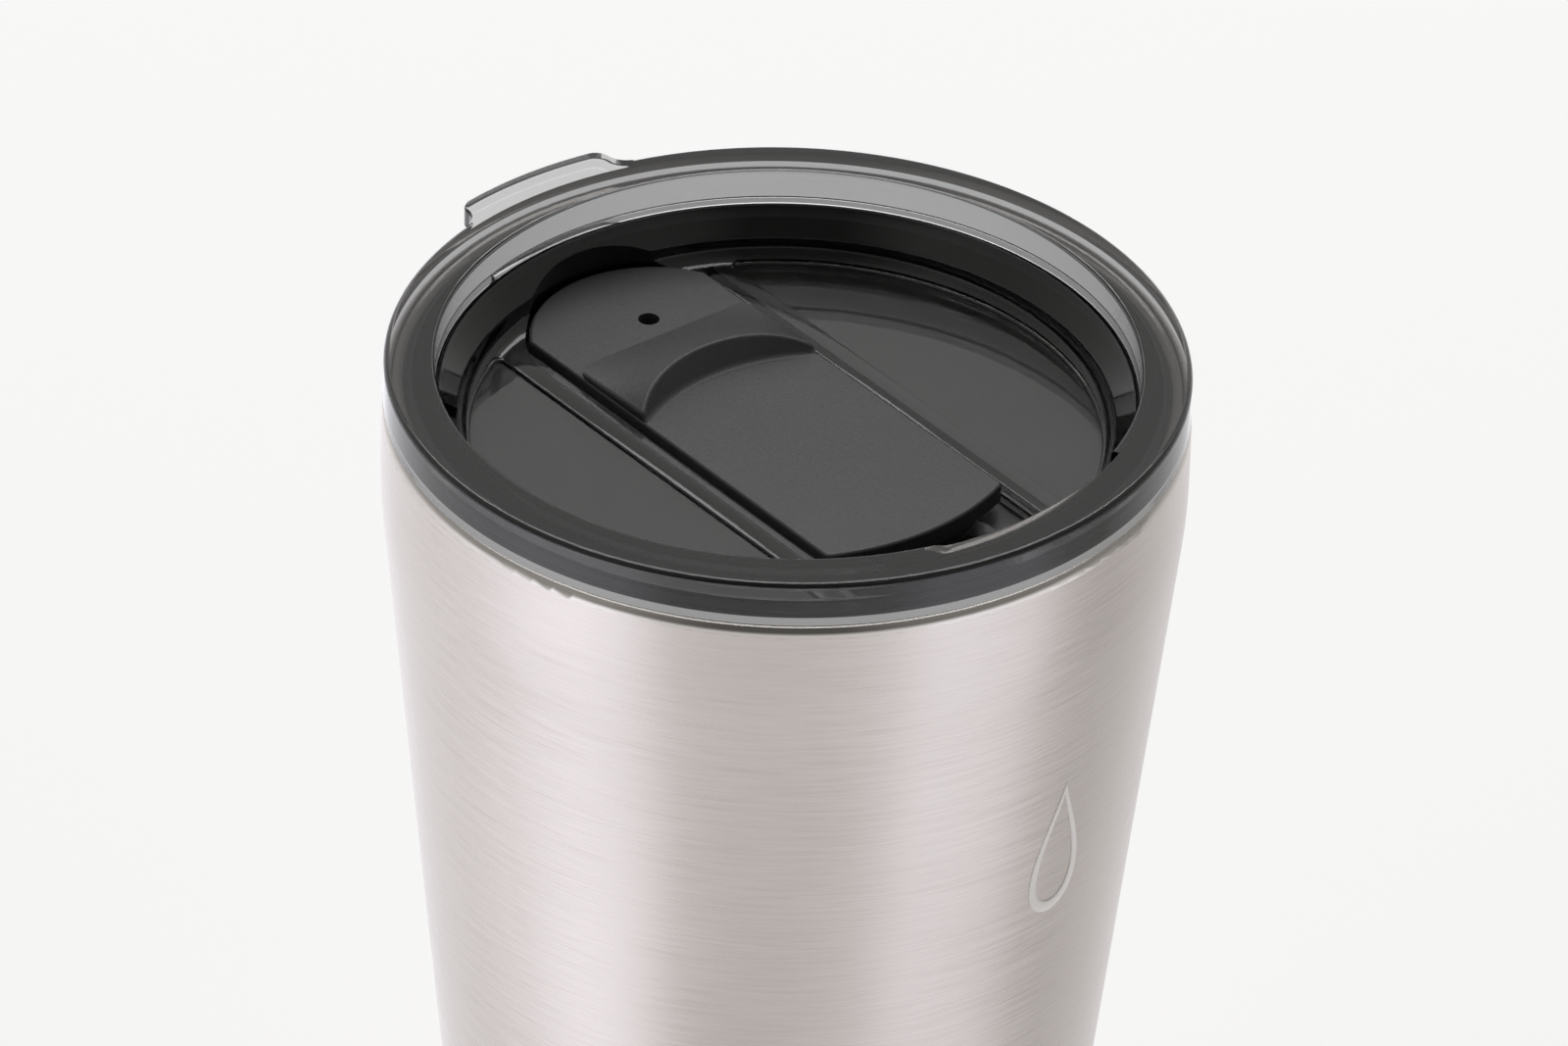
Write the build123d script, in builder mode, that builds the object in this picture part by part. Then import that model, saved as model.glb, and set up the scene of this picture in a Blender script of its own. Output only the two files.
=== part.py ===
from build123d import *
import os
from math import cos, radians, sin, sqrt

os.makedirs("parts", exist_ok=True)

# Insulated pint tumbler with a press-in slider lid.
# Millimetres. The origin is the centre of the base, +Z is up, the drinking side faces -Y
# and the thumb tab of the lid points along +Y.

# ---- driving dimensions: steel cup -------------------------------------------------
CUP_HEIGHT = 139.5          # base plane to the top of the rolled lip
SHEET = 0.7                 # stainless sheet
BODY_SLOPE = 0.106          # radius gained per millimetre of height on the tapered wall
BODY_MAX_RADIUS = 44.6      # upright band just under the lip
CONE_TOP = 128.4            # height where the taper meets the upright top band
BASE_CORNER = 3.5           # outside corner radius at the base
BASE_RING_RADIUS = 25.0     # round opening in the underside of the outer shell
LINER_RADIUS = 41.75        # upright inner band that the lid seals against
LINER_BAND_BOTTOM = 124.5
LINER_SLOPE = 0.113
LINER_FLOOR = 7.0           # height of the wet floor
LINER_CORNER = 6.0
LIP_RADIUS = 1.425          # outside radius of the rolled lip
PAN_TOP = 3.9               # height of the raised centre of the vacuum bottom
EVACUATION_HOLE = 0.9       # radius of the hole that the cup is pumped out through

# ---- driving dimensions: lid -------------------------------------------------------
LIP_TO_LID_TOP = 5.4
LID_TOP = CUP_HEIGHT + LIP_TO_LID_TOP
FLANGE_RADIUS = 44.5
FLANGE_THICK = 5.38         # leaves a hair of clearance over the lip of the cup
FLANGE_EDGE = 0.7           # rounding of the outer top edge
WELL_CORNER = 2.0           # hollow corner round the floor of the recess
OPENING_RADIUS = 38.95      # inner edge of the flat flange
WELL_RADIUS = 36.1          # lower wall of the recess
FLOOR_DEPTH = 9.5           # flange top to the raised borders beside the slider
PANEL_DEPTH = 9.9           # flange top to the side panels
CHANNEL_DEPTH = 12.2        # flange top to the bed under the slider
BED_THICK = 1.9
PLUG_RADIUS = 40.6
GROOVE_RADIUS = 38.7        # bottom of the groove that holds the gasket
GROOVE_TOP = 6.0
GROOVE_BOTTOM = 11.2
FOOT_DEPTH = 13.2
TAB_RADIUS = 47.6
TAB_THICK = 2.6
TAB_EDGE = 1.1              # rounding of its top edge
TAB_HALF_ANGLE = 10.1       # centre of the rounded tip corners, from the middle of the tab
TAB_ROOT_ANGLE = 15.4
TAB_CORNER = 2.0
TAB_ROOT = 2.5
CHANNEL_HALF = 12.75
BORDER_HALF = 16.4
PANEL_RADIUS = 34.8
RELIEF_RADIUS = 39.85       # drinking-side relief of the flange's inner edge
RELIEF_DEPTH = 2.5
RELIEF_START = -102.0
RELIEF_END = -63.5
FIN_RADIUS = 41.62          # gasket
COLLAR_RADIUS = 41.3

# ---- driving dimensions: slider ----------------------------------------------------
SLIDER_HALF = 12.3
SLIDER_TOP = 8.7            # flange top to the flat of the slider
SLIDER_THICK = 2.1
SLIDER_FRONT = -25.4        # foremost point with the slider pulled back
SLIDER_CORNER = -22.7
TAIL_CENTRE = 23.0          # centre of the round tail
TAIL_RADIUS = 14.3
TRAVEL = 10.0               # stroke from open to closed, towards the drinking side
VENT = (1.2, 26.2)
VENT_RADIUS = 1.2
RAIL_TOP = 10.6             # depths of the groove that the slider runs in
RAIL_BOTTOM = 11.7
RAIL_HALF = 13.45
RAIL_FRONT = -31.0
RAIL_BACK = 25.0
RIDGE_DEPTH = 5.8           # thumb ramp: depth and place of the crown of its ridge
RIDGE_CROWN = 14.8
RIDGE_TIP_DEPTH = 7.9       # and of the ends of the ridge
RIDGE_TIP = 9.8
RAMP_START = 22.4
RAMP_STEP_DEPTH = 8.2
RAMP_EDGE = 0.35            # rounding of the step where the ramp begins
RAMP_FRONT = 6.0
RAMP_HALF = 12.1
FACE_CENTRE = -9.6          # hollow face of the ramp: part of a dish round this point
FACE_FOOT = 22.65
FACE_LEAN = 0.6
FACE_CORNER = 1.0
PAD_HALF = 10.6             # seal pad
PAD_FRONT = -24.2
PAD_BACK = -10.8
PAD_GAP = 0.15
HOLE_HALF = 9.2             # drinking hole
HOLE_FRONT = -33.1
HOLE_BACK = -22.7


def below(depth):
    """Height of a point that lies this far under the flat top of the lid."""
    return LID_TOP - depth


def polar(radius, degrees):
    return (radius * cos(radians(degrees)), radius * sin(radians(degrees)))


def reach(point):
    """Distance of a point from the upright axis."""
    return sqrt(point.X ** 2 + point.Y ** 2)


def body_radius(height):
    """Outside radius of the tapered wall at this height."""
    return BODY_MAX_RADIUS - BODY_SLOPE * (CONE_TOP - height)


def liner_radius(height):
    return LINER_RADIUS - LINER_SLOPE * (LINER_BAND_BOTTOM - height)


LIP_CENTRE = LINER_RADIUS + LIP_RADIUS
LIP_BASE = CUP_HEIGHT - LIP_RADIUS

# ---- steel cup ---------------------------------------------------------------------

# Outer shell: one drawn sheet, from the weld under the lip down to the ring it stands on.
with BuildPart() as outer_shell:
    with BuildSketch(Plane.XZ) as shell_section:
        with BuildLine():
            corner_out = body_radius(0)
            outside = Polyline(
                (BODY_MAX_RADIUS, LIP_BASE),
                (BODY_MAX_RADIUS, CONE_TOP),
                (corner_out, 0),
                (BASE_RING_RADIUS, 0),
            )
            inside = Polyline(
                (BASE_RING_RADIUS, 0),
                (BASE_RING_RADIUS, SHEET),
                (body_radius(SHEET) - SHEET, SHEET),
                (BODY_MAX_RADIUS - SHEET, CONE_TOP),
                (BODY_MAX_RADIUS - SHEET, LIP_BASE),
                (BODY_MAX_RADIUS, LIP_BASE),
            )
        make_face()
        base_points = shell_section.vertices().filter_by(lambda v: v.X > BASE_RING_RADIUS + 1)
        fillet(base_points.filter_by(lambda v: abs(v.Y) < 0.1), radius=BASE_CORNER)
        fillet(base_points.filter_by(lambda v: abs(v.Y - SHEET) < 0.1), radius=BASE_CORNER - SHEET)
        shoulder = shell_section.vertices().filter_by(lambda v: abs(v.Y - CONE_TOP) < 0.1)
        fillet(shoulder, radius=70)
    revolve(axis=Axis.Z)
outer_shell.part.label = "outer_shell"

# Inner liner: the wet cup. Its top edge rolls outwards into the drinking lip and butts
# on the outer shell, where the two are welded.
with BuildPart() as inner_liner:
    with BuildSketch(Plane.XZ) as liner_section:
        with BuildLine():
            floor_out = liner_radius(LINER_FLOOR)
            skin = LINER_FLOOR - SHEET
            wet = Polyline(
                (0, LINER_FLOOR),
                (floor_out, LINER_FLOOR),
                (LINER_RADIUS, LINER_BAND_BOTTOM),
                (LINER_RADIUS, LIP_BASE),
            )
            lip_out = CenterArc((LIP_CENTRE, LIP_BASE), LIP_RADIUS, 180, -180)
            weld_edge = Line(
                (LIP_CENTRE + LIP_RADIUS, LIP_BASE), (LIP_CENTRE + LIP_RADIUS - SHEET, LIP_BASE)
            )
            lip_in = CenterArc((LIP_CENTRE, LIP_BASE), LIP_RADIUS - SHEET, 0, 180)
            dry = Polyline(
                (LINER_RADIUS + SHEET, LIP_BASE),
                (LINER_RADIUS + SHEET, LINER_BAND_BOTTOM),
                (liner_radius(skin) + SHEET, skin),
                (0, skin),
                (0, LINER_FLOOR),
            )
        make_face()
        low = liner_section.vertices().filter_by(lambda v: v.X > 10 and v.Y < LINER_FLOOR + 0.1)
        fillet(low.filter_by(lambda v: v.Y > skin + 0.1), radius=LINER_CORNER)
        fillet(low.filter_by(lambda v: v.Y < skin + 0.1), radius=LINER_CORNER + SHEET)
    revolve(axis=Axis.Z)
inner_liner.part.label = "inner_liner"

# Vacuum bottom: a shallow pan welded inside the base ring, raised in the middle, with the
# hole that the cup is evacuated through.
PAN_RIM = BASE_RING_RADIUS + 1.3
PAN_STEP = 18.0
with BuildPart() as outer_bottom:
    with BuildSketch(Plane.XZ) as pan_section:
        with BuildLine():
            Polyline(
                (EVACUATION_HOLE, PAN_TOP),
                (PAN_STEP, PAN_TOP),
                (PAN_STEP + 2.5, 2 * SHEET),
                (PAN_RIM, 2 * SHEET),
                (PAN_RIM, SHEET),
                (PAN_STEP + 2, SHEET),
                (PAN_STEP - 0.5, PAN_TOP - SHEET),
                (EVACUATION_HOLE, PAN_TOP - SHEET),
                close=True,
            )
        make_face()
    revolve(axis=Axis.Z)
outer_bottom.part.label = "outer_bottom"

# Solder bead that closes the evacuation hole from below.
BEAD_RADIUS = 2.4
with BuildPart() as vacuum_seal:
    with BuildSketch(Plane.XZ) as bead_section:
        with BuildLine():
            bead_top = PAN_TOP - SHEET
            Polyline(
                (0, PAN_TOP),
                (EVACUATION_HOLE, PAN_TOP),
                (EVACUATION_HOLE, bead_top),
                (BEAD_RADIUS, bead_top),
                (BEAD_RADIUS - 0.4, bead_top - 0.6),
                (1.0, bead_top - 1.0),
                (0, bead_top - 1.1),
                close=True,
            )
        make_face()
    revolve(axis=Axis.Z)
vacuum_seal.part.label = "vacuum_seal"

# Getter: a small cup spot-welded on the pan, and the pellet pressed into it. It keeps the
# vacuum clean for the life of the cup.
GETTER_PLACE = (11.0, 0.0)
GETTER_RADIUS = 4.0
CLIP_SHEET = 0.3
with BuildPart() as getter_clip:
    with BuildSketch(Plane.XY.offset(PAN_TOP)):
        with Locations(GETTER_PLACE):
            Circle(GETTER_RADIUS + CLIP_SHEET)
    extrude(amount=1.3)
    with BuildSketch(Plane.XY.offset(PAN_TOP + CLIP_SHEET)):
        with Locations(GETTER_PLACE):
            Circle(GETTER_RADIUS)
    extrude(amount=1.3, mode=Mode.SUBTRACT)
getter_clip.part.label = "getter_clip"

with BuildPart() as getter_pellet:
    with BuildSketch(Plane.XY.offset(PAN_TOP + CLIP_SHEET)):
        with Locations(GETTER_PLACE):
            Circle(GETTER_RADIUS)
    extrude(amount=0.9)
getter_pellet.part.label = "getter_pellet"

# Base cap: the plate glued into the base ring, flush with it, over the solder bead.
CAP_THICK = 0.7
with BuildPart() as base_cap:
    with BuildSketch():
        Circle(BASE_RING_RADIUS - 0.1)
    extrude(amount=CAP_THICK)
    with BuildSketch():
        Circle(22.6)
        Circle(22.0, mode=Mode.SUBTRACT)
    extrude(amount=0.25, mode=Mode.SUBTRACT)
base_cap.part.label = "base_cap"

# ---- lid ---------------------------------------------------------------------------

# Lid body: one clear smoke-tinted moulding. A flat flange lies over the lip, a plug wall
# goes down inside the cup, and the floor between them carries the slider's channel.
with BuildPart() as lid_body:
    # flange, plug wall and floor
    with BuildSketch(Plane.XZ) as lid_section:
        with BuildLine():
            Polyline(
                (0, below(FLOOR_DEPTH)),
                (WELL_RADIUS, below(FLOOR_DEPTH)),
                (WELL_RADIUS, below(7.0)),
                (OPENING_RADIUS - 0.2, below(4.4)),
                (OPENING_RADIUS, below(0)),
                (FLANGE_RADIUS - 0.02, below(0)),
                (FLANGE_RADIUS - 0.1, below(FLANGE_THICK)),
                (PLUG_RADIUS, below(FLANGE_THICK)),
                (PLUG_RADIUS, below(GROOVE_TOP)),
                (GROOVE_RADIUS, below(GROOVE_TOP)),
                (GROOVE_RADIUS, below(GROOVE_BOTTOM)),
                (PLUG_RADIUS - 0.5, below(GROOVE_BOTTOM)),
                (PLUG_RADIUS - 0.5, below(FOOT_DEPTH - 0.9)),
                (PLUG_RADIUS - 1.4, below(FOOT_DEPTH)),
                (WELL_RADIUS + 0.8, below(FOOT_DEPTH)),
                (WELL_RADIUS + 0.3, below(FLOOR_DEPTH + 2.3)),
                (0, below(FLOOR_DEPTH + 2.3)),
                close=True,
            )
        make_face()
        points = lid_section.vertices()
        well = points.filter_by(lambda v: abs(v.X - WELL_RADIUS) < 0.1)
        fillet(well.filter_by(lambda v: v.Y < below(8)), radius=WELL_CORNER)
        fillet(well.filter_by(lambda v: v.Y > below(8)), radius=0.8)
        fillet(points.filter_by(lambda v: abs(v.Y - below(4.4)) < 0.1), radius=1.5)
        edge = points.filter_by(lambda v: abs(v.Y - below(0)) < 0.1)
        fillet(edge.filter_by(lambda v: v.X < OPENING_RADIUS + 1), radius=0.5)
        fillet(edge.filter_by(lambda v: v.X > OPENING_RADIUS + 1), radius=FLANGE_EDGE)
        fillet(points.filter_by(lambda v: v.X > 44 and v.Y < below(5)), radius=0.25)
    revolve(axis=Axis.Z)

    # thumb tab, running out of the flange through two hollow corners
    tip = polar(TAB_RADIUS - TAB_CORNER, 90 - TAB_HALF_ANGLE)
    root = polar(FLANGE_RADIUS - 0.05 + TAB_ROOT, 90 - TAB_ROOT_ANGLE)
    share = TAB_CORNER / (TAB_CORNER + TAB_ROOT)
    bend = (tip[0] + share * (root[0] - tip[0]), tip[1] + share * (root[1] - tip[1]))
    crest = polar(TAB_RADIUS, 90 - TAB_HALF_ANGLE)
    start = polar(FLANGE_RADIUS - 0.05, 90 - TAB_ROOT_ANGLE)
    with BuildSketch(Plane.XY.offset(below(TAB_THICK))) as tab_outline:
        with BuildLine():
            ThreePointArc((0, TAB_RADIUS), polar(TAB_RADIUS, 90 - TAB_HALF_ANGLE / 2), crest)
            RadiusArc(crest, bend, TAB_CORNER)
            RadiusArc(bend, start, -TAB_ROOT)
            Line(start, polar(FLANGE_RADIUS - 4, 90 - TAB_ROOT_ANGLE))
            Line(polar(FLANGE_RADIUS - 4, 90 - TAB_ROOT_ANGLE), (0, FLANGE_RADIUS - 4))
            mirror(about=Plane.YZ)
        make_face()
    extrude(amount=TAB_THICK)
    top_rim = lid_body.edges().filter_by(lambda e: abs((e @ 0.5).Z - LID_TOP) < 0.01)
    top_rim = top_rim.filter_by(lambda e: abs((e @ 0).Z - LID_TOP) < 0.01)
    tab_rim = top_rim.filter_by(lambda e: (e @ 0.5).Y > 40 and reach(e @ 0.5) > FLANGE_RADIUS - 0.1)
    fillet(tab_rim, radius=TAB_EDGE)

    # bed under the slider, hanging below the floor
    with BuildSketch(Plane.XY.offset(below(CHANNEL_DEPTH + BED_THICK))):
        Rectangle(2 * (RAIL_HALF + 1.75), 90)
        Circle(WELL_RADIUS + 1.6, mode=Mode.INTERSECT)
    extrude(amount=CHANNEL_DEPTH + BED_THICK - FLOOR_DEPTH - 1)

    # channel for the slider: square sides, the well wall in front, a round pocket behind
    with BuildSketch(Plane.XY.offset(below(CHANNEL_DEPTH))) as channel:
        with Locations((0, -8)):
            Rectangle(2 * CHANNEL_HALF, 64)
        Circle(WELL_RADIUS, mode=Mode.INTERSECT)
        with Locations((0, TAIL_CENTRE)):
            Circle(TAIL_RADIUS + 0.4)
        Rectangle(2 * CHANNEL_HALF, 90, mode=Mode.INTERSECT)
    extrude(amount=CHANNEL_DEPTH - 4.5, mode=Mode.SUBTRACT)

    # running grooves for the slider's side ribs
    with BuildSketch(Plane.XY.offset(below(RAIL_BOTTOM))):
        with Locations((0, (RAIL_BACK + RAIL_FRONT) / 2)):
            Rectangle(2 * RAIL_HALF, RAIL_BACK - RAIL_FRONT)
        Circle(WELL_RADIUS, mode=Mode.INTERSECT)
    extrude(amount=RAIL_BOTTOM - RAIL_TOP, mode=Mode.SUBTRACT)

    # side panels, a little lower than the border round them
    with BuildSketch(Plane.XY.offset(below(PANEL_DEPTH))) as panels:
        Circle(PANEL_RADIUS)
        Rectangle(2 * BORDER_HALF, 90, mode=Mode.SUBTRACT)
        fillet(panels.vertices(), radius=1.0)
    extrude(amount=PANEL_DEPTH - FLOOR_DEPTH + 1, mode=Mode.SUBTRACT)

    # drinking hole
    with BuildSketch(Plane.XY.offset(below(CHANNEL_DEPTH + BED_THICK))) as hole:
        with Locations((0, (HOLE_FRONT + HOLE_BACK) / 2)):
            Rectangle(2 * HOLE_HALF, HOLE_BACK - HOLE_FRONT)
        hole_front = hole.vertices().filter_by(lambda v: v.Y < HOLE_FRONT + 1)
        fillet(hole_front, radius=6.0)
        hole_back = hole.vertices().filter_by(lambda v: v.Y > HOLE_BACK - 0.1)
        fillet(hole_back, radius=1.5)
    extrude(amount=BED_THICK, mode=Mode.SUBTRACT)

    # air vent in the bed, under the slider's own vent when that is pulled back
    with BuildSketch(Plane.XY.offset(below(CHANNEL_DEPTH + BED_THICK))):
        with Locations(VENT):
            Circle(VENT_RADIUS)
    extrude(amount=BED_THICK, mode=Mode.SUBTRACT)

    # shallow relief of the flange's inner edge where the lips rest
    with BuildSketch(Plane.XY.offset(below(RELIEF_DEPTH))):
        with BuildLine():
            sharp_in = polar(OPENING_RADIUS - 1, RELIEF_END)
            sharp_out = polar(RELIEF_RADIUS, RELIEF_END)
            middle = polar(RELIEF_RADIUS, (RELIEF_START + RELIEF_END) / 2)
            soft_out = polar(RELIEF_RADIUS, RELIEF_START)
            soft_in = polar(OPENING_RADIUS - 0.15, RELIEF_START - 5)
            Line(sharp_in, sharp_out)
            ThreePointArc(sharp_out, middle, soft_out)
            run_out = polar(1, RELIEF_START - 90)
            run_in = polar(1, RELIEF_START - 5 - 90)
            Spline(soft_out, soft_in, tangents=(run_out, run_in))
            inner_start = polar(OPENING_RADIUS - 1, RELIEF_START - 5)
            Line(soft_in, inner_start)
            ThreePointArc(inner_start, polar(OPENING_RADIUS - 1, -84), sharp_in)
        make_face()
    extrude(amount=RELIEF_DEPTH, mode=Mode.SUBTRACT)

    # broken edges on the borders beside the channel
    with BuildSketch(Plane.XZ.offset(-30.0)):
        for side in (-1, 1):
            with BuildLine():
                Polyline(
                    (side * (CHANNEL_HALF - 0.1), below(FLOOR_DEPTH - 0.1)),
                    (side * (CHANNEL_HALF + 0.4), below(FLOOR_DEPTH - 0.1)),
                    (side * (CHANNEL_HALF + 0.3), below(FLOOR_DEPTH)),
                    (side * (CHANNEL_HALF + 0.1), below(FLOOR_DEPTH + 0.1)),
                    (side * CHANNEL_HALF, below(FLOOR_DEPTH + 0.3)),
                    (side * (CHANNEL_HALF - 0.1), below(FLOOR_DEPTH + 0.3)),
                    close=True,
                )
            make_face()
    extrude(amount=63.3, mode=Mode.SUBTRACT)
lid_body.part.label = "lid_body"

# Gasket: dark silicone sleeve with three wiping fins, in the groove of the plug, with a
# collar up against the underside of the flange.
with BuildPart() as lid_gasket:
    with BuildSketch(Plane.XZ) as gasket_section:
        with BuildLine():
            Polyline(
                (PLUG_RADIUS, below(FLANGE_THICK)),
                (COLLAR_RADIUS, below(FLANGE_THICK)),
                (FIN_RADIUS, below(FLANGE_THICK + 0.27)),
                (FIN_RADIUS, below(FLANGE_THICK + 0.47)),
                (41.0, below(6.2)),
                (40.1, below(6.6)),
                (40.1, below(7.0)),
                (41.0, below(7.4)),
                (FIN_RADIUS, below(7.6)),
                (FIN_RADIUS, below(7.9)),
                (40.1, below(8.6)),
                (40.1, below(9.1)),
                (41.0, below(9.6)),
                (FIN_RADIUS, below(9.8)),
                (FIN_RADIUS, below(10.1)),
                (40.1, below(10.8)),
                (40.0, below(GROOVE_BOTTOM)),
                (GROOVE_RADIUS, below(GROOVE_BOTTOM)),
                (GROOVE_RADIUS, below(GROOVE_TOP)),
                (PLUG_RADIUS, below(GROOVE_TOP)),
                close=True,
            )
        make_face()
    revolve(axis=Axis.Z)
lid_gasket.part.label = "lid_gasket"

PLATE_BOTTOM = SLIDER_TOP + SLIDER_THICK

# Thumb ramp, drawn on its own and joined to the slider: flat where it starts, crowned at
# the ridge, with a hollow round face for the thumb.
with BuildPart() as thumb_ramp:
    base_height = below(SLIDER_TOP + 0.5)
    start_height = below(RAMP_STEP_DEPTH)
    steep = (below(RIDGE_DEPTH) - start_height) / (RAMP_START - RIDGE_CROWN)
    far_centre = start_height + steep * (RAMP_START - RAMP_FRONT)
    side_fall = (below(RIDGE_TIP_DEPTH) - start_height) / (RAMP_START - RIDGE_TIP)
    far_side = start_height + side_fall * (RAMP_START - RAMP_FRONT)
    near = Plane((0, RAMP_START, 0), x_dir=(1, 0, 0), z_dir=(0, -1, 0))
    far = Plane((0, RAMP_FRONT, 0), x_dir=(1, 0, 0), z_dir=(0, -1, 0))
    with BuildSketch(near) as near_section:
        with BuildLine():
            low_crown = start_height + 0.02
            ThreePointArc((-RAMP_HALF, start_height), (0, low_crown), (RAMP_HALF, start_height))
            Line((RAMP_HALF, start_height), (RAMP_HALF, base_height))
            Line((RAMP_HALF, base_height), (-RAMP_HALF, base_height))
            Line((-RAMP_HALF, base_height), (-RAMP_HALF, start_height))
        make_face()
        fillet(near_section.vertices().filter_by(lambda v: v.Y > base_height + 0.1), radius=0.5)
    with BuildSketch(far) as far_section:
        with BuildLine():
            ThreePointArc((-RAMP_HALF, far_side), (0, far_centre), (RAMP_HALF, far_side))
            Line((RAMP_HALF, far_side), (RAMP_HALF, base_height))
            Line((RAMP_HALF, base_height), (-RAMP_HALF, base_height))
            Line((-RAMP_HALF, base_height), (-RAMP_HALF, far_side))
        make_face()
        fillet(far_section.vertices().filter_by(lambda v: v.Y > base_height + 0.1), radius=0.8)
    loft(ruled=True)
    with BuildSketch(Plane((0, FACE_CENTRE, below(SLIDER_TOP)), x_dir=(1, 0, 0), z_dir=(0, -1, 0))) as face:
        with BuildLine():
            Polyline(
                (0, -0.6),
                (FACE_FOOT, 0),
                (FACE_FOOT + 6 * FACE_LEAN, 6),
                (0, 6),
                close=True,
            )
        make_face()
        fillet(face.vertices().filter_by(lambda v: abs(v.X - FACE_FOOT) < 0.01), radius=FACE_CORNER)
    face_axis = Axis((0, FACE_CENTRE, 0), (0, 0, 1))
    revolve(axis=face_axis, mode=Mode.SUBTRACT)
    with BuildSketch(Plane.XY.offset(base_height - 0.5)) as ramp_plan:
        with Locations((0, RAMP_START - 15)):
            Rectangle(2 * RAMP_HALF, 30)
        fillet(ramp_plan.vertices(), radius=2.2)
    extrude(amount=6, mode=Mode.INTERSECT)
    with BuildSketch(Plane.YZ) as step_edge:
        with BuildLine():
            edge_top = (RAMP_START - RAMP_EDGE, start_height + 0.3 * RAMP_EDGE)
            edge_low = (RAMP_START, start_height - RAMP_EDGE)
            edge_middle = (RAMP_START - 0.24 * RAMP_EDGE, start_height - 0.15 * RAMP_EDGE)
            ThreePointArc(edge_low, edge_middle, edge_top)
            Line(edge_top, (RAMP_START - RAMP_EDGE, start_height + 1))
            Line((RAMP_START - RAMP_EDGE, start_height + 1), (RAMP_START + 1, start_height + 1))
            Line((RAMP_START + 1, start_height + 1), (RAMP_START + 1, start_height - RAMP_EDGE))
            Line((RAMP_START + 1, start_height - RAMP_EDGE), edge_low)
        make_face()
    extrude(amount=RAMP_HALF + 1, both=True, mode=Mode.SUBTRACT)
    crown = thumb_ramp.edges().filter_by(lambda e: (e @ 0.5).Z > below(RIDGE_TIP_DEPTH))
    ridge = crown.filter_by(lambda e: abs((e @ 0.5).X) < 1).filter_by(lambda e: (e @ 0.5).Y < 18)
    fillet(ridge, radius=0.4)


# Slider: the moulded gate. It is drawn pulled back, with the drinking hole open.
with BuildPart() as slider:
    # flat plate with a bowed front and a round tail
    with BuildSketch(Plane.XY.offset(below(PLATE_BOTTOM))) as plate:
        with BuildLine():
            tail_side = TAIL_CENTRE + sqrt(TAIL_RADIUS ** 2 - SLIDER_HALF ** 2)
            front_left = (-SLIDER_HALF, SLIDER_CORNER)
            front_right = (SLIDER_HALF, SLIDER_CORNER)
            tail_tip = (0, TAIL_CENTRE + TAIL_RADIUS)
            ThreePointArc(front_left, (0, SLIDER_FRONT), front_right)
            Line(front_right, (SLIDER_HALF, tail_side))
            ThreePointArc((SLIDER_HALF, tail_side), tail_tip, (-SLIDER_HALF, tail_side))
            Line((-SLIDER_HALF, tail_side), front_left)
        make_face()
        front_corners = plate.vertices().filter_by(lambda v: v.Y < 0)
        fillet(front_corners, radius=0.8)
    extrude(amount=SLIDER_THICK)
    plate_rim = slider.edges().filter_by(lambda e: abs((e @ 0.5).Z - below(SLIDER_TOP)) < 0.01)
    fillet(plate_rim, radius=0.4)

    # side skirts and the running ribs on them
    skirt_span = RAIL_BACK - RAIL_FRONT - TRAVEL - 1
    skirt_middle = RAIL_BACK - 0.5 - skirt_span / 2
    with BuildSketch(Plane.XY.offset(below(RAIL_BOTTOM - 0.2))):
        with Locations((SLIDER_HALF - 0.5, skirt_middle), (0.5 - SLIDER_HALF, skirt_middle)):
            Rectangle(1, skirt_span)
    extrude(amount=RAIL_BOTTOM - 0.2 - PLATE_BOTTOM + 0.3)
    with BuildSketch(Plane.XY.offset(below(RAIL_BOTTOM - 0.2))):
        rib_middle = SLIDER_HALF - 0.5 + (RAIL_HALF - 0.3 - SLIDER_HALF + 0.5) / 2
        with Locations((rib_middle, skirt_middle), (-rib_middle, skirt_middle)):
            Rectangle(RAIL_HALF - 0.3 - SLIDER_HALF + 0.5, skirt_span)
    extrude(amount=RAIL_BOTTOM - 0.2 - RAIL_TOP - 0.2)

    add(thumb_ramp.part)

    # vent
    with BuildSketch(Plane.XY.offset(below(PLATE_BOTTOM))):
        with Locations(VENT):
            Circle(VENT_RADIUS)
    extrude(amount=SLIDER_THICK, mode=Mode.SUBTRACT)
slider.part.label = "slider"

# Seal pad: soft pad under the front of the slider that covers the drinking hole.
with BuildPart() as slider_seal:
    with BuildSketch(Plane.XY.offset(below(CHANNEL_DEPTH - PAD_GAP))) as pad:
        with Locations((0, (PAD_FRONT + PAD_BACK) / 2)):
            Rectangle(2 * PAD_HALF, PAD_BACK - PAD_FRONT)
        fillet(pad.vertices().filter_by(lambda v: v.Y < PAD_FRONT + 1), radius=5.5)
        fillet(pad.vertices().filter_by(lambda v: v.Y > PAD_BACK - 0.1), radius=2)
    extrude(amount=CHANNEL_DEPTH - PAD_GAP - PLATE_BOTTOM)
slider_seal.part.label = "slider_seal"

pieces = (
    outer_shell, inner_liner, outer_bottom, base_cap, getter_clip, getter_pellet,
    vacuum_seal, lid_body, lid_gasket, slider, slider_seal,
)
for piece in pieces:
    export_step(piece.part, "parts/" + piece.part.label + ".step")
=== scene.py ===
import math

import bmesh
import bpy
from mathutils import Matrix, Vector


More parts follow.
